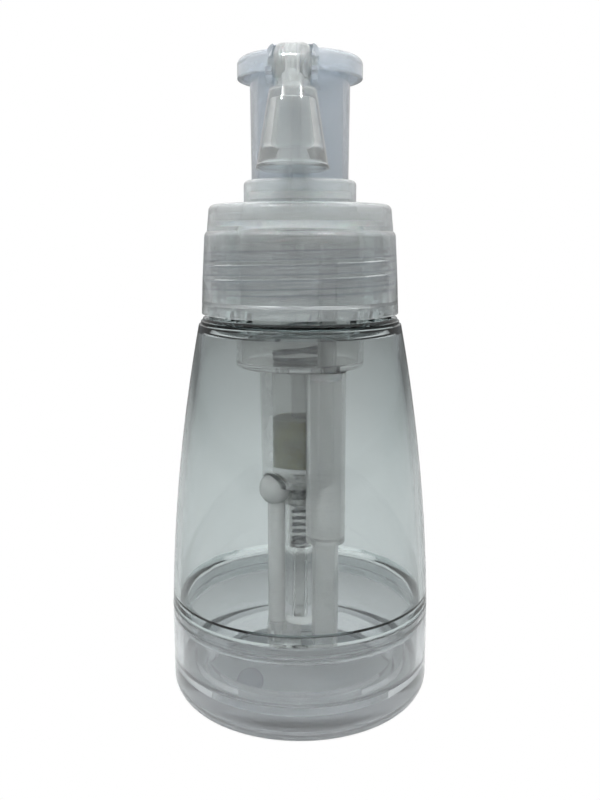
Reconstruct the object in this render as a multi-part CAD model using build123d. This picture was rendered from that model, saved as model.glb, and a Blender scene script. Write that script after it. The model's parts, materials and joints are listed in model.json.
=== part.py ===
from build123d import *
import os
from math import cos, radians, sin

os.makedirs("parts", exist_ok=True)

# Refillable powder pump bottle, in millimetres. +Z is up, the origin is the centre of the foot,
# and the nozzle faces -Y. Every radius named *_r is measured from the piece's own axis.

# ---- driving dimensions ----
base_r = 30.0               # bottle and base cup at the seam
seam_z = 23.0               # where the bottle stands on the base cup
shoulder_z = 88.9           # top of the bottle's shoulder
neck_r = 18.7               # bottle neck, outside, below the thread crest
neck_top_z = 108.5
thread_lead = 3.0
collar_bottom_z = 89.6
collar_top_z = 113.5
head_top_z = 144.2
column_r = 10.66            # lower end of the press head's column
stroke = 16.0               # travel of the press head
insert_turn = 4.6           # the pump's tubes stand turned by this much from the nozzle
gap = 0.1                   # between pieces fixed to each other
running_gap = 0.25          # between pieces that slide past each other

# ---- derived heights of the stack clamped under the collar ----
gasket_top_z = neck_top_z + 1.2
flange_top_z = gasket_top_z + 1.5
collar_ceiling_z = flange_top_z + 0.2
guide_top_z = collar_top_z + 5.2

# ---- air cylinder, piston and main spring ----
cylinder_r = 14.53
cylinder_bore_r = 13.3
cylinder_bottom_z = 77.65
cylinder_floor_z = cylinder_bottom_z + 1.2
guide_r = 12.4
guide_bore_r = column_r + 0.39
guide_bottom_z = 107.4
piston_top_z = guide_bottom_z - 0.4
piston_bottom_z = piston_top_z - 4.5
piston_r = cylinder_bore_r - 0.35
seal_z = (piston_top_z - 2.1, piston_top_z - 0.6)
delivery_y = -6.6           # the head's delivery tube, from the column's axis
column_bore_r = 9.4
main_spring_r = 5.87        # centre line of the wire
main_spring_wire_r = 0.55

# ---- tubes below the cylinder: centres in the insert's own frame ----
housing_axis = (0.0, 2.0)
riser_axis = (5.67, -9.0)
air_axis = (-5.45, -2.25)
cage_centre = (-5.75, -2.25, 49.4)
housing_bottom_z = 50.0
cage_r = 3.72
cage_bore_r = 3.1
ball_r = 2.3
leg_r = 3.4
inner_riser_r = 2.05
inner_riser_top_z = seal_z[0] - 0.5

# ---- nozzle ----
pivot_y = -17.4
pivot_z = 139.9
barrel_r = 3.9
barrel_half_width = 3.7
cheek_inner_x = 3.9
cheek_outer_x = 5.1
trunnion_r = 1.3
dome_drop = 0.3             # the ball that rounds the cheeks' tops is centred this far below the pivot
nozzle_tilt = 2.7           # the folded nozzle leans out from the column
nozzle_shoulder = 4.5       # pivot to the cone's upper end
nozzle_length = 20.2        # pivot to mouth
mouth_r = 7.4

# ---- agitator bead ----
bead_r = 3.0
bead_track_r = 18.4
bead_angle = -122.6
recess_floor_z = 4.9
recess_r = 21.75

# ---- foot ----
foot_inner_r = 22.8         # a shallow hollow under the base, inside the ring it stands on
foot_round = 5.2


def turned(points, rounds=()):
    """Solid of revolution about Z from a closed (radius, height) outline.

    rounds lists (corner number, fillet radius) for the corners that are rounded."""
    face = make_face(Polyline(*points, close=True))
    for corner, radius in rounds:
        r, z = points[corner]
        vertex = face.vertices().sort_by_distance((r, z, 0))[0]
        face = fillet(vertex, radius)
    return revolve(Plane.XZ * face, Axis.Z)


def rod(r, z0, z1, centre=(0.0, 0.0)):
    """Upright solid cylinder between two heights."""
    upright = Cylinder(r, z1 - z0, align=(Align.CENTER, Align.CENTER, Align.MIN))
    return Pos(centre[0], centre[1], z0) * upright


def tube(outer_r, inner_r, z0, z1, centre=(0.0, 0.0)):
    """Upright tube between two heights."""
    return rod(outer_r, z0, z1, centre) - rod(inner_r, z0 - 1, z1 + 1, centre)


def block(x, y, z):
    """Box from three (low, high) ranges."""
    size = Box(x[1] - x[0], y[1] - y[0], z[1] - z[0])
    return Pos((x[0] + x[1]) / 2, (y[0] + y[1]) / 2, (z[0] + z[1]) / 2) * size


def barrel(r, x0, x1):
    """Solid cylinder along X, centred on the nozzle's pivot."""
    lying = Rot(0, 90, 0) * Cylinder(r, x1 - x0)
    return Pos((x0 + x1) / 2, pivot_y, pivot_z) * lying


def in_insert(part):
    """Turn a piece from the insert's own frame into the bottle's frame."""
    return Rot(0, 0, insert_turn) * part


def insert_point(point):
    """Where an (x, y) of the insert's own frame lies in the bottle's frame."""
    turn = radians(insert_turn)
    x, y = point
    return (x * cos(turn) - y * sin(turn), x * sin(turn) + y * cos(turn))


def thread(root_r, crest_r, z0, turns):
    """Right-handed trapezoid ridge wound around Z; crest_r may lie inside or outside root_r."""
    root_half = 0.55
    crest_half = 0.3
    helix = Helix(pitch=thread_lead, height=thread_lead * turns, radius=root_r)
    section = Polyline(
        (root_r, 0, -root_half),
        (crest_r, 0, -crest_half),
        (crest_r, 0, crest_half),
        (root_r, 0, root_half),
        close=True,
    )
    ridge = sweep(make_face(section), path=helix, is_frenet=True)
    return Pos(0, 0, z0) * ridge


def coil_spring(coil_r, wire_r, z0, z1, turns):
    """Compression spring, wound right-handed as one open helix."""
    height = z1 - z0 - 2 * wire_r
    helix = Helix(pitch=height / turns, height=height, radius=coil_r)
    wire = sweep(Plane(origin=helix @ 0, z_dir=helix % 0) * Circle(wire_r), path=helix, is_frenet=True)
    return Pos(0, 0, z0 + wire_r) * wire


# ---- bottle and base ----

def make_bottle():
    """Clear tapered bottle: long arc from seam to shoulder, threaded neck with teeth, spigot below."""
    outer = ThreePointArc((base_r, seam_z + 0.1), (27.78, 54.6), (23.05, 86.1))
    shoulder = Polyline(
        (23.05, 86.1), (22.8, 87.4), (22.35, 87.6), (22.35, 88.2), (22.0, 88.4), (21.8, shoulder_z),
        (neck_r, shoulder_z), (neck_r, neck_top_z), (16.6, neck_top_z), (16.6, 88.2), (18.4, 87.0),
        (20.4, 86.6), (21.6, 85.4),
    )
    inner = ThreePointArc((21.6, 85.4), (26.15, 54.6), (28.35, 25.4))
    spigot = Polyline(
        (28.35, 25.4), (26.6, 24.2), (26.6, 18.7), (28.0, 18.7), (28.0, 20.1), (28.25, 20.4),
        (28.0, 20.7), (28.0, seam_z + 0.1), (base_r, seam_z + 0.1),
    )
    wall = make_face(Curve() + [outer, shoulder, inner, spigot])
    bottle = revolve(Plane.XZ * wall, Axis.Z)
    bottle += thread(neck_r - 0.2, 19.8, 94.6, 3.0)
    foot_z = shoulder_z - 0.2
    tooth = make_face(Polyline((-1.5, foot_z), (-0.4, 91.0), (1.5, 91.0), (1.5, foot_z), close=True))
    tooth = extrude(Plane.YZ.offset(neck_r - 0.1) * tooth, 2.0)
    for pair in range(8):
        for side in (-1, 1):
            bottle += Rot(0, 0, 5.3 + 45 * pair + 7.6 * side) * tooth
    return bottle


def make_base_cup():
    """Hazy base cup: thick wall on a foot ring, stepped floor with a round recess."""
    points = [
        (foot_inner_r, 0), (base_r + 0.1, 0), (base_r + 0.05, seam_z - 0.1), (28.1, seam_z - 0.1),
        (28.1, 20.9), (28.35, 20.4), (28.1, 19.9), (28.1, 8.6),
        (25.4, 8.6), (24.8, 9.5), (22.4, 9.5), (recess_r, 8.6), (recess_r, recess_floor_z),
        (0, recess_floor_z), (0, 1.2), (foot_inner_r - 0.5, 1.2),
    ]
    return turned(points, rounds=[(1, foot_round), (2, 0.35), (7, 1.6)])


def make_bead():
    """Loose agitator bead lying in the floor recess."""
    x = bead_track_r * cos(radians(bead_angle))
    y = bead_track_r * sin(radians(bead_angle))
    return Pos(x, y, recess_floor_z + bead_r + 0.05) * Sphere(bead_r)


# ---- collar and what it clamps ----

def make_screw_collar():
    """Threaded collar with a stepped outside and a hole for the guide ring."""
    points = [
        (21.0, collar_bottom_z), (22.1, collar_bottom_z), (21.75, 98.0), (21.2, 107.2),
        (20.65, 107.8), (20.1, collar_top_z), (guide_r + 0.35, collar_top_z),
        (guide_r + 0.35, collar_ceiling_z), (19.3, collar_ceiling_z), (19.3, 108.6),
        (20.1, 107.4), (20.1, 92.6), (21.0, 91.9),
    ]
    collar = turned(points, rounds=[(1, 0.4), (3, 1.5), (5, 1.3), (6, 0.4)])
    collar += thread(20.1 + 0.2, 19.2, 94.6 + thread_lead / 2, 2.5)
    return collar


def make_neck_gasket():
    """Flat ring between the bottle neck and the cylinder flange."""
    return tube(18.6, 16.0, neck_top_z, gasket_top_z)


def make_guide_ring():
    """Ring that guides the column, plugged into the top of the cylinder."""
    wiper_z = (114.5, 116.0)
    points = [
        (guide_bore_r, guide_bottom_z), (cylinder_bore_r - gap, guide_bottom_z),
        (cylinder_bore_r - gap, flange_top_z), (guide_r, flange_top_z + 0.1), (guide_r, guide_top_z),
        (guide_bore_r, guide_top_z), (guide_bore_r, wiper_z[1]), (11.8, wiper_z[1]),
        (11.8, wiper_z[0]), (guide_bore_r, wiper_z[0]),
    ]
    return turned(points, rounds=[(4, 1.0), (5, 0.2)])


def make_column_wiper():
    """Soft ring in the guide's groove that keeps powder off the column."""
    return turned([(10.98, 115.25), (11.1, 114.55), (11.75, 114.55), (11.75, 115.95), (11.1, 115.95)])


def make_air_cylinder():
    """Air cylinder hanging from its flange, with a ported floor."""
    points = [
        (0, cylinder_bottom_z), (cylinder_r, cylinder_bottom_z), (cylinder_r, gasket_top_z),
        (19.0, gasket_top_z), (19.0, flange_top_z), (cylinder_bore_r, flange_top_z),
        (cylinder_bore_r, cylinder_floor_z), (0, cylinder_floor_z),
    ]
    cylinder = turned(points, rounds=[(1, 0.9), (6, 0.4)])
    cylinder -= rod(inner_riser_r + running_gap, 70, 90, riser_axis)
    for quarter in range(4):
        angle = radians(45 + 90 * quarter)
        port = (housing_axis[0] + 3.6 * cos(angle), housing_axis[1] + 3.6 * sin(angle))
        cylinder -= rod(0.9, 70, 90, port)
    return in_insert(cylinder)


# ---- tubes and valves below the cylinder ----

def make_riser_tube():
    """Powder riser: a wide upper tube stepped down to a narrow foot."""
    points = [
        (2.2, 14.5), (3.0, 14.5), (3.0, 38.6), (3.6, 39.1), (4.4, 39.1), (4.4, cylinder_bottom_z - 0.05),
        (3.5, cylinder_bottom_z - 0.05), (3.5, 40.6), (2.2, 39.6),
    ]
    riser = turned(points, rounds=[(4, 0.3)])
    for ring_z in (43.0, 47.0, 51.0, 55.0):
        riser += tube(4.5, 4.3, ring_z, ring_z + 0.3)
    return in_insert(Pos(riser_axis[0], riser_axis[1], 0) * riser)


def make_riser_seal():
    """Soft bush at the riser's top that the moving inner tube slides through."""
    seal = tube(3.45, inner_riser_r + gap, 75.9, cylinder_bottom_z - 0.1, riser_axis)
    return in_insert(seal)


def make_valve_housing():
    """Drafted housing for the air filter, cut back for the riser and the ball cage."""
    points = [
        (1.9, housing_bottom_z), (leg_r + gap, housing_bottom_z), (leg_r + gap, 45.2), (4.5, 45.2),
        (4.5, housing_bottom_z), (8.85, housing_bottom_z), (9.4, cylinder_bottom_z - 0.05),
        (6.4, cylinder_bottom_z - 0.05), (6.4, housing_bottom_z + 1.3), (1.9, housing_bottom_z + 1.3),
    ]
    housing = Pos(housing_axis[0], housing_axis[1], 0) * turned(points, rounds=[(5, 0.6)])
    housing -= rod(4.4 + 0.2, 40, 80, riser_axis)
    housing -= Pos(*cage_centre) * Sphere(cage_r + gap)
    return in_insert(housing)


def make_air_filter():
    """Pressed felt plug that keeps powder out of the air cylinder."""
    return in_insert(tube(6.3, 2.2, 54.5, 65.6, housing_axis))


def make_filter_pin():
    """Pin that holds the filter down in its housing."""
    return in_insert(rod(2.1, 53.3, cylinder_bottom_z - 0.1, housing_axis))


def make_valve_leg():
    """Hollow leg below the housing that holds the relief valve's spring."""
    leg = rod(leg_r, 15.55, housing_bottom_z - 0.05, housing_axis)
    leg -= rod(2.6, 34.4, 60, housing_axis)
    leg -= rod(1.2, 16.8, 60, housing_axis)
    return in_insert(leg)


def make_relief_poppet():
    """Relief valve plug: a domed nose in the housing's port and a guide pin in the spring."""
    points = [
        (0, 43.4), (1.2, 43.4), (1.2, 48.4), (2.4, 48.4), (2.4, 49.75), (1.6, 49.75), (1.6, 51.4), (0, 51.4),
    ]
    poppet = turned(points, rounds=[(6, 1.4)])
    return in_insert(Pos(housing_axis[0], housing_axis[1], 0) * poppet)


def make_valve_spring():
    """Small spring under the relief poppet."""
    spring = coil_spring(1.85, 0.28, 34.45, 48.35, 9.5)
    return in_insert(Pos(housing_axis[0], housing_axis[1], 0) * spring)


def make_ball_cage():
    """Hollow ball-valve cage, open above to the housing and below to the air tube."""
    cage = Sphere(cage_r) - Sphere(cage_bore_r)
    cage -= rod(1.5, 0, 10)
    cage -= rod(1.35, -10, 0)
    return in_insert(Pos(*cage_centre) * cage)


def make_check_ball():
    """Ball resting on the lower seat of its cage."""
    x, y, z = cage_centre
    rest_drop = cage_bore_r - ball_r - 0.05
    return in_insert(Pos(x, y, z - rest_drop) * Sphere(ball_r))


def make_air_tube():
    """Air tube from the ball cage down to the mixing foot."""
    air = tube(2.1, 1.35, 17.5, 48.0, air_axis)
    air -= Pos(*cage_centre) * Sphere(cage_r + 0.03)
    return in_insert(air)


def make_mixing_foot():
    """Foot that blows the air into the powder through four side ports."""
    foot = block((-7.7, 0.4), (-4.5, 4.4), (10.5, 15.5))
    foot = fillet(foot.edges().filter_by(Axis.Z), 1.2)
    foot += rod(2.25, 12.0, 17.45, air_axis)
    foot -= rod(1.35, 12.0, 20.0, air_axis)
    for side in (0, 90):
        foot -= Pos(air_axis[0], air_axis[1], 13.0) * Rot(0, 90, side) * Cylinder(0.8, 30)
    return in_insert(foot)


def make_main_spring():
    """Return spring between the cylinder floor and the piston."""
    spring = coil_spring(main_spring_r, main_spring_wire_r, cylinder_floor_z + 0.03, piston_bottom_z - 0.03, 4.5)
    return in_insert(spring)


# ---- press head and what moves with it ----

def make_press_head():
    """Press disc, hollow column, delivery tube and the cheeks that carry the nozzle."""
    points = [
        (column_bore_r, piston_top_z + 0.2), (column_r, piston_top_z + 0.2), (column_r, 121.0),
        (10.83, 138.0), (10.83, 142.5), (12.3, 142.5), (12.3, 139.8), (13.55, 139.8),
        (13.55, head_top_z), (0, head_top_z), (0, 142.5), (column_bore_r, 142.5),
    ]
    head = turned(points, rounds=[(4, 0.5), (6, 0.3), (7, 0.3), (8, 1.5)])
    bore_r = 1.5
    head += rod(3.0, piston_top_z + 3.7, 143, (0, delivery_y))

    eye = barrel(barrel_r, -cheek_outer_x, cheek_outer_x)
    boss = block((-cheek_outer_x, cheek_outer_x), (pivot_y, -9.9), (pivot_z - barrel_r, pivot_z + barrel_r))
    boss = fillet(boss.edges().filter_by(Axis.Y).group_by(Axis.Z)[-1], 1.6)
    upper_half = block((-10, 10), (pivot_y - 10, pivot_y + 10), (pivot_z, pivot_z + 10))
    eye -= upper_half - Pos(0, pivot_y, pivot_z - dome_drop) * Sphere(cheek_outer_x)
    head += eye + boss
    head -= barrel(barrel_r + running_gap, -cheek_inner_x, cheek_inner_x)
    head -= block((-cheek_inner_x, cheek_inner_x), (pivot_y - 10, pivot_y), (130, 150))
    head -= block((-cheek_inner_x, cheek_inner_x), (pivot_y - 1, pivot_y + 3.8), (130, pivot_z))
    head -= barrel(trunnion_r + 0.05, -10, 10)
    head -= block((-10, 10), (pivot_y - 10, pivot_y), (pivot_z - 1.1, pivot_z + 1.1))

    head -= rod(bore_r, 100, pivot_z + bore_r, (0, delivery_y))
    head -= Pos(0, (pivot_y + delivery_y) / 2, pivot_z) * Rot(90, 0, 0) * Cylinder(bore_r, delivery_y - pivot_y)
    head -= Pos(0, pivot_y + barrel_r + 0.3, pivot_z) * Rot(90, 0, 0) * Cylinder(2.6, 3.0)
    return head


def make_nozzle_seal():
    """Soft ring seated in the head, its face hollowed to the nozzle's barrel."""
    ring = Cylinder(2.5, 1.9) - Cylinder(1.5, 3)
    ring = Pos(0, pivot_y + barrel_r + 0.75, pivot_z) * Rot(90, 0, 0) * ring
    return ring - barrel(barrel_r + 0.08, -8, 8)


def make_air_piston():
    """Piston on the column's lower end, with a duct from the inner riser to the delivery tube."""
    points = [
        (0, piston_bottom_z), (piston_r, piston_bottom_z), (piston_r, seal_z[0]), (12.1, seal_z[0]),
        (12.1, seal_z[1]), (piston_r, seal_z[1]), (piston_r, piston_top_z), (column_bore_r - gap, piston_top_z),
        (column_bore_r - gap, piston_top_z + 3.5), (0, piston_top_z + 3.5),
    ]
    piston = turned(points, rounds=[(8, 0.4)])
    riser_x, riser_y = insert_point(riser_axis)
    duct_z = piston_top_z - 1.2
    duct = Line((riser_x, riser_y, duct_z), (0, delivery_y, duct_z))
    piston -= sweep(Plane(origin=duct @ 0, z_dir=duct % 0) * Circle(1.0), path=duct)
    piston -= rod(inner_riser_r + 0.02, 100, inner_riser_top_z + 0.05, (riser_x, riser_y))
    piston -= rod(1.0, 100, duct_z, (riser_x, riser_y))
    piston -= rod(1.0, duct_z, 120, (0, delivery_y))
    piston -= rod(0.95, 100, 120)
    for quarter in range(4):
        angle = radians(45 + 90 * quarter)
        piston -= rod(0.7, 100, 120, (3.0 * cos(angle), 3.0 * sin(angle)))
    return piston


def make_piston_seal():
    """Lip seal in the piston's groove."""
    lip_r = cylinder_bore_r - 0.03
    low = seal_z[0] + 0.05
    high = seal_z[1] - 0.05
    points = [(12.15, low), (12.9, low), (lip_r, low + 0.4), (lip_r, high - 0.4), (12.9, high), (12.15, high)]
    return turned(points)


def make_inlet_flap():
    """Umbrella valve that lets air into the cylinder on the return stroke."""
    under_z = piston_bottom_z - 0.05
    over_z = piston_top_z + 3.55
    points = [
        (0, under_z - 0.9), (2.0, under_z - 0.8), (4.4, under_z - 0.3), (4.4, under_z), (0.9, under_z),
        (0.9, over_z), (1.4, over_z), (0.9, over_z + 1.2), (0, over_z + 1.2),
    ]
    return turned(points)


def make_inner_riser_tube():
    """Tube that hangs from the piston and slides in the riser."""
    return in_insert(tube(inner_riser_r, 1.3, 53.5, inner_riser_top_z, riser_axis))


def make_nozzle_cone():
    """Hinged nozzle: barrel with trunnions, neck, and a thin flared cone open at the mouth."""
    shoulder_z = -nozzle_shoulder
    points = [
        (0, shoulder_z), (4.65, shoulder_z), (5.2, shoulder_z - 3.0), (mouth_r - 0.25, -nozzle_length + 0.9),
        (mouth_r, -nozzle_length + 0.6), (mouth_r, -nozzle_length), (mouth_r - 0.7, -nozzle_length),
        (mouth_r - 1.1, -nozzle_length + 1.2), (4.5, -nozzle_length + 3.8), (3.25, -6.8), (0, -6.8),
    ]
    cone = turned(points, rounds=[(1, 0.8), (5, 0.3), (6, 0.2), (8, 3.0), (9, 0.3)])
    neck = rod(3.5, shoulder_z - 0.5, 0)
    hub = Cylinder(barrel_r, 2 * barrel_half_width)
    hub = Rot(0, 90, 0) * fillet(hub.edges(), 1.8)
    pins = Rot(0, 90, 0) * Cylinder(trunnion_r, 2 * (cheek_outer_x - 0.2))
    nozzle = cone + neck + hub + pins
    nozzle -= rod(1.5, -10, 10)
    return Pos(0, pivot_y, pivot_z) * Rot(-nozzle_tilt, 0, 0) * nozzle


pieces = {
    "bottle": make_bottle,
    "base_cup": make_base_cup,
    "agitator_bead": make_bead,
    "screw_collar": make_screw_collar,
    "neck_gasket": make_neck_gasket,
    "guide_ring": make_guide_ring,
    "column_wiper": make_column_wiper,
    "air_cylinder": make_air_cylinder,
    "riser_tube": make_riser_tube,
    "riser_seal": make_riser_seal,
    "valve_housing": make_valve_housing,
    "air_filter": make_air_filter,
    "filter_pin": make_filter_pin,
    "valve_leg": make_valve_leg,
    "relief_poppet": make_relief_poppet,
    "valve_spring": make_valve_spring,
    "ball_cage": make_ball_cage,
    "check_ball": make_check_ball,
    "air_tube": make_air_tube,
    "mixing_foot": make_mixing_foot,
    "main_spring": make_main_spring,
    "press_head": make_press_head,
    "nozzle_seal": make_nozzle_seal,
    "air_piston": make_air_piston,
    "piston_seal": make_piston_seal,
    "inlet_flap": make_inlet_flap,
    "inner_riser_tube": make_inner_riser_tube,
    "nozzle_cone": make_nozzle_cone,
}

for name, make in pieces.items():
    export_step(make(), f"parts/{name}.step")
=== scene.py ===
import json
from math import cos, pi, radians, sin

import bpy
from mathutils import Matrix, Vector


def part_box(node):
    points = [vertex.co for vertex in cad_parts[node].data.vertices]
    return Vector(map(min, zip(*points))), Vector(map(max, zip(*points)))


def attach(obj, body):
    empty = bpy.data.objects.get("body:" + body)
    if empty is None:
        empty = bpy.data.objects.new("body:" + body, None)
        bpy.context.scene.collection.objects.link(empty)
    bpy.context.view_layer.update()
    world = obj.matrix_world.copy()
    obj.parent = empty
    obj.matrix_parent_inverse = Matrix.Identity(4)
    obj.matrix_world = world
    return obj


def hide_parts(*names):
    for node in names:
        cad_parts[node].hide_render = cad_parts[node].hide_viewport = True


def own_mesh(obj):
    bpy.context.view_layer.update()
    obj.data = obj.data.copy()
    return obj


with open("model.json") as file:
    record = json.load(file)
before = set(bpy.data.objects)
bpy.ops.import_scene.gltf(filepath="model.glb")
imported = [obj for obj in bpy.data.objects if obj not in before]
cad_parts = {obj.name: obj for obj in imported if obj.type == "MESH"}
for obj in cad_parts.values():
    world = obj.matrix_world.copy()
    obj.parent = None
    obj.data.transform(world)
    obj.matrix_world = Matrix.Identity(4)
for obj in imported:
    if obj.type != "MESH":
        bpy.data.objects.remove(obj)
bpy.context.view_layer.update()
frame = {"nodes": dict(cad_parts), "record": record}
scene = bpy.context.scene
MM = 0.001

# ---- driving values: camera, stage and lights (metres, degrees) ----
CAMERA_DISTANCE = 0.1969        # from the bottle's axis
CAMERA_HEIGHT = 0.105
CAMERA_PITCH = 10.17            # looking down
CAMERA_AZIMUTH = 4.6            # the camera stands this far round from the nozzle
CAMERA_LENS = 39.07
FLOOR_SIZE = 6.0
FLOOR_DROP = 0.05 * MM
FLOOR_LEVELS = (                # distance from the bottle's axis, and how pale the floor is there to rays through the plastic; the pale levels under the bottle are a painted pool of light
    (0.0, 0.85), (0.03, 0.80), (0.07, 0.40), (0.24, 0.41), (0.39, 0.345), (0.67, 0.30), (0.9, 0.22),
)
ROOM_LEVELS = ((0.12, 0.5), (0.4, 0.8))     # how far up the room (0 horizon, 1 overhead), and how bright
HORIZON_COLOUR = (0.30, 0.31, 0.32, 1)
LAMP_COUNT = 17                 # row of small lamps in front of the bottle and above it
LAMP_SPACING = 0.06
LAMP_SIZE = 0.006
LAMP_POWER = 1.3                # watts
THREAD_LEAD = 3.0 * MM


# ---- node helpers ----

class Shading:
    """A new material with short calls for the nodes that the looks are made of."""

    def __init__(self, name):
        self.material = bpy.data.materials.new(name)
        self.material.use_nodes = True
        self.nodes = self.material.node_tree.nodes
        self.links = self.material.node_tree.links
        self.shader = self.nodes["Principled BSDF"]
        self.place = self.nodes.new("ShaderNodeTexCoord").outputs["Object"]

    def put(self, socket, value):
        """Link an output to a shader socket, or set a plain value on it."""
        if isinstance(value, bpy.types.NodeSocket):
            self.links.new(value, self.shader.inputs[socket])
        else:
            self.shader.inputs[socket].default_value = value

    def stretched(self, scale):
        """Object coordinates scaled differently along each axis."""
        mapping = self.nodes.new("ShaderNodeMapping")
        mapping.inputs["Scale"].default_value = scale
        self.links.new(self.place, mapping.inputs["Vector"])
        return mapping.outputs["Vector"]

    def radius(self):
        """Distance from the bottle's axis, with the piece at rest."""
        node = self.nodes.new("ShaderNodeVectorMath")
        node.operation = "LENGTH"
        self.links.new(self.stretched((1, 1, 0)), node.inputs[0])
        return node.outputs["Value"]

    def painted_thread_shade(self, lead, ridge_z):
        """Painted shade along a right-handed thread: dark stripes at the flanks, and a lighter ridge
        between them.

        ridge_z is the ridge's height on the +X side."""
        parts = self.nodes.new("ShaderNodeSeparateXYZ")
        self.links.new(self.place, parts.inputs[0])
        turn = self.math("DIVIDE", self.math("ARCTAN2", parts.outputs["Y"], parts.outputs["X"]), 2 * pi)
        level = self.math("DIVIDE", self.math("SUBTRACT", parts.outputs["Z"], ridge_z), lead)
        phase = self.math("FRACT", self.math("SUBTRACT", level, turn), 0.0)
        return self.ramp(phase, (0.0, (1, 1, 1)), (0.14, (1, 1, 1)), (0.20, (0.60, 0.62, 0.66)),
                         (0.28, (0.95, 0.95, 0.96)), (0.70, (0.93, 0.93, 0.94)), (0.80, (0.66, 0.68, 0.72)),
                         (0.86, (1, 1, 1)), (1.0, (1, 1, 1)))

    def multiply(self, first, second, share=1.0):
        """Product of two colours, or as much of it as share says."""
        node = self.nodes.new("ShaderNodeMix")
        node.data_type = "RGBA"
        node.blend_type = "MULTIPLY"
        if isinstance(share, bpy.types.NodeSocket):
            self.links.new(share, node.inputs["Factor"])
        else:
            node.inputs["Factor"].default_value = share
        first_colour, second_colour = (socket for socket in node.inputs if socket.type == "RGBA")
        self.links.new(first, first_colour)
        self.links.new(second, second_colour)
        return next(socket for socket in node.outputs if socket.type == "RGBA")

    def height(self):
        """Height above the foot, with the piece at rest."""
        node = self.nodes.new("ShaderNodeSeparateXYZ")
        self.links.new(self.place, node.inputs[0])
        return node.outputs["Z"]

    def noise(self, scale, detail=3.0, roughness=0.5, vector=None, distortion=0.0):
        """Noise whose features are about 1 / scale metres across."""
        node = self.nodes.new("ShaderNodeTexNoise")
        node.inputs["Scale"].default_value = scale
        node.inputs["Detail"].default_value = detail
        node.inputs["Roughness"].default_value = roughness
        node.inputs["Distortion"].default_value = distortion
        self.links.new(vector or self.place, node.inputs["Vector"])
        return node.outputs["Fac"]

    def ramp(self, factor, *stops):
        """Colour ramp through (position, colour) stops."""
        node = self.nodes.new("ShaderNodeValToRGB")
        elements = node.color_ramp.elements
        while len(elements) < len(stops):
            elements.new(0.5)
        for element, (position, colour) in zip(elements, stops):
            element.position = position
            element.color = (*colour, 1.0)
        self.links.new(factor, node.inputs["Fac"])
        return node.outputs["Color"]

    def spread(self, factor, low, high, from_low=0.3, from_high=0.7):
        """Map a noise's usual span to a span of values."""
        node = self.nodes.new("ShaderNodeMapRange")
        node.inputs["From Min"].default_value = from_low
        node.inputs["From Max"].default_value = from_high
        node.inputs["To Min"].default_value = low
        node.inputs["To Max"].default_value = high
        self.links.new(factor, node.inputs["Value"])
        return node.outputs["Result"]

    def math(self, operation, first, second):
        """One maths step on two sockets or numbers."""
        node = self.nodes.new("ShaderNodeMath")
        node.operation = operation
        for socket, value in zip(node.inputs, (first, second)):
            if isinstance(value, bpy.types.NodeSocket):
                self.links.new(value, socket)
            else:
                socket.default_value = value
        return node.outputs["Value"]

    def bump(self, height, depth, strength=1.0, below=None):
        """Bump whose height of 1 is depth metres, on top of another bump."""
        node = self.nodes.new("ShaderNodeBump")
        node.inputs["Strength"].default_value = strength
        node.inputs["Distance"].default_value = depth
        self.links.new(height, node.inputs["Height"])
        if below is not None:
            self.links.new(below, node.inputs["Normal"])
        return node.outputs["Normal"]

    def absorb(self, colour, density):
        """Light lost on the way through the solid, per metre."""
        node = self.nodes.new("ShaderNodeVolumeAbsorption")
        node.inputs["Color"].default_value = (*colour, 1.0)
        node.inputs["Density"].default_value = density
        self.links.new(node.outputs["Volume"], self.nodes["Material Output"].inputs["Volume"])


def clear_plastic(name, tint, deep, haze, waviness, milk, absorbed, density, wall=None):
    """Clear moulded plastic: slight flow clouding, long waves and a little surface haze.

    milk is the share of light that the plastic scatters instead of passing; absorbed and density
    darken long ways through the wall, as along the outline. wall is the radius outside which the
    plastic is greyer, and by how much."""
    s = Shading(name)
    flow = s.noise(60, detail=2.0, vector=s.stretched((1, 1, 0.25)), distortion=0.6)
    colour = s.ramp(flow, (0.3, deep), (0.7, tint))
    if wall is not None:
        radius, grey = wall
        colour = s.multiply(colour, s.ramp(s.radius(), (radius - 2.0 * MM, (1, 1, 1)), (radius, grey)))
    s.put("Base Color", colour)
    scuffs = s.noise(900, detail=5.0, roughness=0.7)
    s.put("Roughness", s.spread(scuffs, haze, haze * 2.5, 0.45, 0.75))
    s.put("Transmission Weight", 1.0 - milk)
    s.put("IOR", 1.5)
    long_wave = s.noise(45, detail=1.0, vector=s.stretched((1, 1, 0.4)))
    normal = s.bump(long_wave, waviness)
    s.put("Normal", normal)
    s.absorb(absorbed, density)
    return s.material


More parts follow.
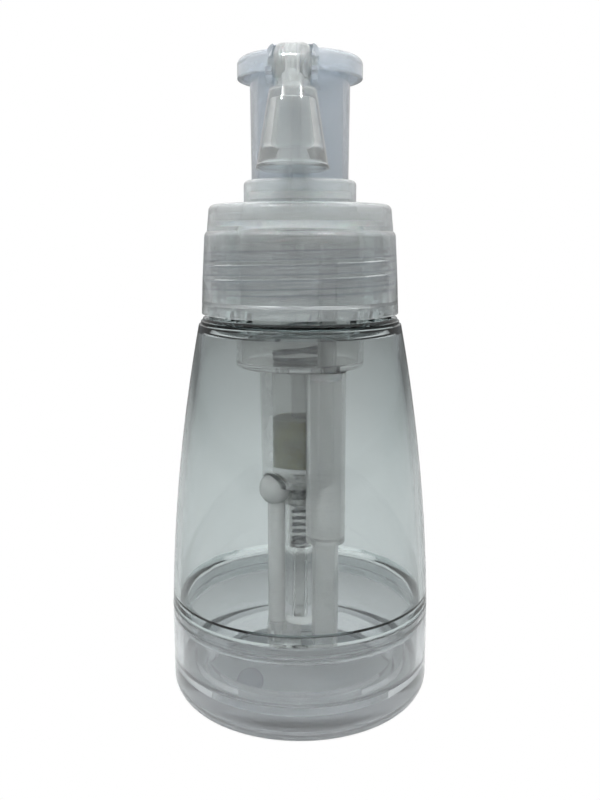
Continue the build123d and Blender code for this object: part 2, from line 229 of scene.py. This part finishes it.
def frosted_plastic(name, tint, deep, milk, roughness, thick=None, added=0.0, thread=None):
    """Translucent natural polypropylene: cloudy depth, satin grain and a glossy moulded skin.

    thick is the span of heights over which the piece turns from thin to solid, and added is how
    much milkier that makes it. thread is the span of heights that a thread inside the wall takes,
    its lead and the height of its ridge; over that span the colour gets painted thread shade."""
    s = Shading(name)
    flow = s.noise(90, detail=3.0, vector=s.stretched((1, 1, 0.35)), distortion=0.4)
    colour = s.ramp(flow, (0.3, deep), (0.72, tint))
    if thread is not None:
        low, high, lead, ridge_z = thread
        inside = s.math("MULTIPLY", s.spread(s.height(), 0.0, 1.0, low, low + 0.5 * MM),
                        s.spread(s.height(), 1.0, 0.0, high - 0.5 * MM, high))
        # painted shade: dark stripes along the thread's flanks, multiplied into the colour inside the
        # thread's span
        colour = s.multiply(colour, s.painted_thread_shade(lead, ridge_z), inside)
    s.put("Base Color", colour)
    specks = s.noise(700, detail=4.0, roughness=0.65)
    s.put("Roughness", s.spread(specks, roughness * 0.8, roughness * 1.3))
    clouds = s.noise(220, detail=4.0, roughness=0.6)
    clear = s.spread(clouds, 0.97 - milk, 1.03 - milk)
    if thick is not None:
        clear = s.math("SUBTRACT", clear, s.spread(s.height(), 0.0, added, *thick))
    s.put("Transmission Weight", clear)
    s.put("IOR", 1.49)
    s.put("Coat Weight", 0.8)
    s.put("Coat Roughness", 0.02)
    fine = s.noise(2600, detail=3.0, roughness=0.6)
    sink = s.noise(120, detail=1.0)
    normal = s.bump(sink, 0.04 * MM)
    s.put("Normal", s.bump(fine, 0.0015 * MM, below=normal))
    return s.material


def felt(name):
    """Pressed olive felt: matted fibres with lighter and darker tufts."""
    s = Shading(name)
    fibres = s.noise(2200, detail=8.0, roughness=0.75, vector=s.stretched((1, 1, 3)), distortion=1.5)
    tufts = s.noise(350, detail=4.0)
    mixed = s.math("ADD", s.math("MULTIPLY", fibres, 0.6), s.math("MULTIPLY", tufts, 0.4))
    s.put("Base Color", s.ramp(mixed, (0.3, (0.075, 0.070, 0.012)), (0.5, (0.15, 0.14, 0.030)),
                               (0.7, (0.25, 0.23, 0.060))))
    s.put("Roughness", 0.95)
    s.put("Sheen Weight", 0.3)
    s.put("Normal", s.bump(mixed, 0.25 * MM))
    return s.material


def drawn_wire(name):
    """Bright drawn spring steel with fine draw marks and a few darker spots."""
    s = Shading(name)
    marks = s.noise(3000, detail=4.0, vector=s.stretched((1, 1, 9)))
    spots = s.noise(500, detail=3.0)
    s.put("Base Color", s.ramp(spots, (0.35, (0.07, 0.075, 0.09)), (0.65, (0.17, 0.18, 0.20))))
    s.put("Metallic", 1.0)
    s.put("Roughness", s.spread(marks, 0.22, 0.42))
    s.put("Normal", s.bump(marks, 0.01 * MM))
    return s.material


def soft_seal(name):
    """Soft milky elastomer with a faint powder bloom."""
    s = Shading(name)
    bloom = s.noise(800, detail=5.0, roughness=0.7)
    s.put("Base Color", s.ramp(bloom, (0.35, (0.42, 0.43, 0.43)), (0.7, (0.60, 0.61, 0.60))))
    s.put("Roughness", s.spread(bloom, 0.45, 0.7))
    s.put("Subsurface Weight", 0.2)
    s.put("Subsurface Scale", 1.0 * MM)
    s.put("Normal", s.bump(bloom, 0.02 * MM))
    return s.material


nozzle_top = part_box("nozzle_cone")[1].z
head_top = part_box("press_head")[1].z
collar_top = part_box("screw_collar")[1].z
MATERIALS = {
    "bottle_clear": clear_plastic(
        "bottle_clear", tint=(0.95, 0.97, 0.97), deep=(0.92, 0.95, 0.95), haze=0.012, waviness=0.12 * MM,
        milk=0.0, absorbed=(0.40, 0.50, 0.50), density=110.0),
    "cup_clear": clear_plastic(
        "cup_clear", tint=(0.95, 0.96, 0.97), deep=(0.90, 0.91, 0.925), haze=0.035, waviness=0.06 * MM,
        milk=0.11, absorbed=(0.42, 0.45, 0.48), density=20.0, wall=(26.5 * MM, (0.66, 0.675, 0.675))),
    "bead_clear": clear_plastic(
        "bead_clear", tint=(0.86, 0.88, 0.91), deep=(0.82, 0.84, 0.88), haze=0.01, waviness=0.02 * MM,
        milk=0.02, absorbed=(0.40, 0.45, 0.50), density=120.0),
    # the collar's colour carries painted shade along its inner thread
    "collar_frost": frosted_plastic(
        "collar_frost", tint=(0.92, 0.955, 0.955), deep=(0.87, 0.91, 0.915), milk=0.11, roughness=0.05,
        thick=(collar_top - 8 * MM, collar_top), added=0.12,
        thread=(collar_top - 19.5 * MM, collar_top - 9.0 * MM, THREAD_LEAD, collar_top - 17.4 * MM)),
    "head_frost": frosted_plastic(
        "head_frost", tint=(0.78, 0.83, 0.87), deep=(0.73, 0.78, 0.83), milk=0.12, roughness=0.08,
        thick=(head_top - 10 * MM, head_top - 2 * MM), added=0.20),
    "nozzle_frost": frosted_plastic(
        "nozzle_frost", tint=(0.75, 0.78, 0.775), deep=(0.71, 0.74, 0.735), milk=0.09, roughness=0.055,
        thick=(nozzle_top - 11.0 * MM, nozzle_top - 7.5 * MM), added=0.20),
    "insert_frost": frosted_plastic(
        "insert_frost", tint=(0.84, 0.84, 0.83), deep=(0.80, 0.80, 0.79), milk=0.045, roughness=0.03),
    "tube_frost": frosted_plastic(
        "tube_frost", tint=(0.82, 0.812, 0.805), deep=(0.78, 0.772, 0.765), milk=0.22, roughness=0.045),
    "air_frost": frosted_plastic(
        "air_frost", tint=(0.78, 0.765, 0.76), deep=(0.74, 0.725, 0.72), milk=0.45, roughness=0.055),
    "seal_soft": soft_seal("seal_soft"),
    "filter_felt": felt("filter_felt"),
    "spring_steel": drawn_wire("spring_steel"),
}


def dress_frame():
    """Give every CAD node the detailed material of its record slot."""
    slot_of = {part["node"]: part["material_slot"] for part in frame["record"]["subparts"]}
    slot_of["nozzle_cone"] = "nozzle_frost"     # clearer than the head that it hangs from
    for node in ("air_tube", "ball_cage"):
        slot_of[node] = "air_frost"             # milkier than the other tubes
    slot_of["valve_leg"] = "insert_frost"       # clear enough to show the small spring
    for node, obj in frame["nodes"].items():
        for slot in obj.material_slots:
            slot.material = MATERIALS[slot_of[node]]
        for polygon in obj.data.polygons:
            polygon.use_smooth = True


# ---- springs ----

def coil_spring(node, wire_r, active_turns, start):
    """Round-wire compression spring with a closed turn at each end, attached to the pump's body."""
    low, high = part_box(node)
    centre = (low + high) / 2
    coil_r = (high.x - low.x) / 2 - wire_r
    closed_pitch = 2.04 * wire_r
    free_height = high.z - low.z - 2 * wire_r
    active_pitch = (free_height - 2 * closed_pitch) / active_turns
    steps_per_turn = 48
    around = 12
    total = int((active_turns + 2) * steps_per_turn)

    def height(turn):
        """Height of the wire's centre after so many turns."""
        ends = min(turn, 1.0) + max(turn - 1.0 - active_turns, 0.0)
        return ends * closed_pitch + min(max(turn - 1.0, 0.0), active_turns) * active_pitch

    vertices = []
    for step in range(total + 1):
        turn = step / steps_per_turn
        angle = 2 * pi * turn + radians(start)
        outward = Vector((cos(angle), sin(angle), 0.0))
        middle = Vector((centre.x, centre.y, low.z + wire_r + height(turn))) + coil_r * outward
        for corner in range(around):
            lean = 2 * pi * corner / around
            vertices.append(middle + wire_r * (cos(lean) * outward + sin(lean) * Vector((0, 0, 1))))
    faces = [tuple(range(around)), tuple(reversed(range(total * around, (total + 1) * around)))]
    for step in range(total):
        for corner in range(around):
            a = step * around + corner
            b = step * around + (corner + 1) % around
            faces.append((a, a + around, b + around, b))
    mesh = bpy.data.meshes.new(node + "_coil")
    mesh.from_pydata(vertices, [], faces)
    mesh.materials.append(MATERIALS["spring_steel"])
    for polygon in mesh.polygons:
        polygon.use_smooth = len(polygon.vertices) == 4
    spring = bpy.data.objects.new(node + "_coil", mesh)
    scene.collection.objects.link(spring)
    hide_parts(node)
    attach(spring, "pump")
    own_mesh(spring)
    return spring


# ---- camera, floor and light ----

def add_camera():
    """Camera at the picture's viewing angle, on the bottle's axis."""
    turn = radians(CAMERA_AZIMUTH)
    camera = bpy.data.objects.new("camera", bpy.data.cameras.new("camera"))
    camera.data.lens = CAMERA_LENS
    camera.data.clip_start = 0.01
    camera.location = (CAMERA_DISTANCE * sin(turn), -CAMERA_DISTANCE * cos(turn), CAMERA_HEIGHT)
    camera.rotation_euler = (radians(90 - CAMERA_PITCH), 0, turn)
    scene.collection.objects.link(camera)
    scene.camera = camera


def add_floor():
    """Plain pale floor: white where it is looked at, and a quieter grey where plastic shows it, with a
    painted pool of light under the bottle.
    """
    half = FLOOR_SIZE / 2
    mesh = bpy.data.meshes.new("floor")
    corners = [(-half, -half), (half, -half), (half, half), (-half, half)]
    mesh.from_pydata([(x, y, -FLOOR_DROP) for x, y in corners], [], [(0, 1, 2, 3)])
    floor = bpy.data.objects.new("floor", mesh)
    scene.collection.objects.link(floor)
    s = Shading("floor")
    nodes, links = s.nodes, s.links
    distance = nodes.new("ShaderNodeVectorMath")
    distance.operation = "LENGTH"
    links.new(s.place, distance.inputs[0])
    radius = distance.outputs["Value"]
    # grey seen through the plastic, paler under the bottle where a painted pool of light stands in for
    # light coming through it
    grey = s.ramp(radius, *((place, (level * 0.98, level, level)) for place, level in FLOOR_LEVELS))
    through = nodes.new("ShaderNodeBsdfDiffuse")
    links.new(grey, through.inputs["Color"])
    seen = nodes.new("ShaderNodeEmission")
    mix = nodes.new("ShaderNodeMixShader")
    links.new(nodes.new("ShaderNodeLightPath").outputs["Is Camera Ray"], mix.inputs["Fac"])
    links.new(through.outputs[0], mix.inputs[1])
    links.new(seen.outputs[0], mix.inputs[2])
    links.new(mix.outputs[0], nodes["Material Output"].inputs["Surface"])
    mesh.materials.append(s.material)


def add_world():
    """White backdrop; what lights the plastic is a soft room, dim at the horizon and bright above."""
    world = bpy.data.worlds.new("studio")
    scene.world = world
    world.use_nodes = True
    nodes, links = world.node_tree.nodes, world.node_tree.links
    room = nodes["Background"]
    split = nodes.new("ShaderNodeSeparateXYZ")
    links.new(nodes.new("ShaderNodeTexCoord").outputs["Generated"], split.inputs[0])
    ramp = nodes.new("ShaderNodeValToRGB")
    for position, level in ROOM_LEVELS:
        ramp.color_ramp.elements.new(position).color = (level, level, level, 1)
    ramp.color_ramp.elements[0].color = HORIZON_COLOUR
    ramp.color_ramp.elements[-1].color = (1, 1, 1, 1)
    links.new(split.outputs["Z"], ramp.inputs["Fac"])
    links.new(ramp.outputs["Color"], room.inputs["Color"])
    room.inputs["Strength"].default_value = 1.0
    backdrop = nodes.new("ShaderNodeBackground")
    backdrop.inputs["Color"].default_value = (1, 1, 1, 1)
    mix = nodes.new("ShaderNodeMixShader")
    links.new(nodes.new("ShaderNodeLightPath").outputs["Is Camera Ray"], mix.inputs["Fac"])
    links.new(room.outputs[0], mix.inputs[1])
    links.new(backdrop.outputs[0], mix.inputs[2])
    links.new(mix.outputs[0], nodes["World Output"].inputs["Surface"])


def add_area_light(name, place, target, size, power):
    """Soft rectangular light aimed at a point, never seen directly."""
    light = bpy.data.objects.new(name, bpy.data.lights.new(name, "AREA"))
    light.data.shape = "RECTANGLE"
    light.data.size, light.data.size_y = size
    light.data.energy = power
    light.location = place
    light.rotation_euler = (Vector(target) - Vector(place)).to_track_quat("-Z", "Y").to_euler()
    light.visible_camera = False
    scene.collection.objects.link(light)
    return light


def add_lights():
    """Soft light from above and both sides, and a row of small lamps that dots the rims."""
    middle = (0, 0, 0.08)
    top = add_area_light("top_light", (0.0, -0.1, 0.7), middle, (0.5, 0.5), 5.0)
    top.visible_glossy = False
    top.visible_transmission = False
    for side in (-1, 1):
        fill = add_area_light(f"fill_light_{side + 1}", (side * 0.6, -0.3, 0.25), middle, (0.3, 0.5), 1.6)
        fill.visible_glossy = False
        fill.visible_transmission = False
    for lamp in range(LAMP_COUNT):
        x = (lamp - (LAMP_COUNT - 1) / 2) * LAMP_SPACING
        place = (x, -0.45, 0.55)
        small = add_area_light(f"row_lamp_{lamp}", place, middle, (LAMP_SIZE, LAMP_SIZE), LAMP_POWER)
        small.visible_diffuse = False
        small.visible_transmission = False


dress_frame()
coil_spring("main_spring", wire_r=0.55 * MM, active_turns=3.4, start=200)
coil_spring("valve_spring", wire_r=0.30 * MM, active_turns=7.5, start=0)
add_camera()
add_floor()
add_world()
add_lights()
scene.view_settings.view_transform = "Standard"
